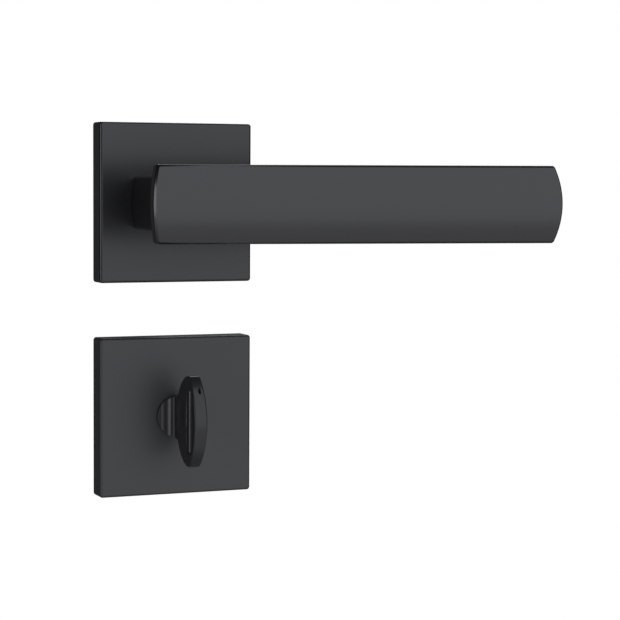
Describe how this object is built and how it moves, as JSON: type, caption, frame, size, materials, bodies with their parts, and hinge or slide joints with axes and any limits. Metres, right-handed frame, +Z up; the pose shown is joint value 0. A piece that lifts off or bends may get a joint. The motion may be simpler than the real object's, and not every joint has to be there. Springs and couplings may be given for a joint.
{
  "type": "door lever handle",
  "caption": "Door lever handle with a curved flat grip on a square rose, and a separate thumb-turn with an oval ring on a matching rose below it.",
  "frame": {"origin": "the lever's spindle axis at the door's face, midway between the lever set's two fixing screws", "axes": "+X along the grip to its free end, +Y into the door along the spindle, +Z up"},
  "size_m": [0.1515, 0.11, 0.1256],
  "materials": {
    "rose_black": "matte black powder coat",
    "lever_black": "satin black coat",
    "turn_black": "semi-gloss black coat",
    "base_zinc": "as-cast zinc",
    "screw_steel": "zinc-plated",
    "grub_steel": "black oxide",
    "spindle_steel": "bright drawn",
    "spring_steel": "spring steel",
    "bush_nylon": "natural nylon"
  },
  "bodies": {
    "roses": {"lever_rose_cover": "rose_black", "lever_rose_base": "base_zinc", "lever_fixing_screws": "screw_steel", "lever_cover_grub": "grub_steel", "lever_front_bush": "bush_nylon", "lever_rear_bush": "bush_nylon", "lever_thrust_washer": "spring_steel", "return_spring": "spring_steel", "turn_rose_cover": "rose_black", "turn_rose_base": "base_zinc", "turn_fixing_screws": "screw_steel", "turn_cover_grub": "grub_steel", "turn_bush": "bush_nylon", "turn_thrust_washer": "spring_steel"},
    "lever": {"lever_grip": "lever_black", "lever_neck": "lever_black", "grip_screws": "grub_steel", "lever_set_screw": "grub_steel", "lever_spindle": "spindle_steel", "lever_circlip": "spring_steel", "spring_rotor": "base_zinc"},
    "turn": {"turn_knob": "turn_black", "turn_spindle": "spindle_steel", "turn_spindle_pin": "spring_steel", "turn_circlip": "spring_steel"}
  },
  "joints": [
    {"name": "lever_turn", "type": "hinge", "parent": "roses", "child": "lever", "pos_m": [0, 0, 0], "axis": [0, 1, 0], "range_deg": [0, 40], "stiffness_Nm_per_rad": 0.8, "springref_deg": -28.65, "deforming": ["return_spring"]},
    {"name": "thumb_turn", "type": "hinge", "parent": "roses", "child": "turn", "pos_m": [0, 0, -0.072], "axis": [0, 1, 0], "range_deg": [0, 90]}
  ]
}
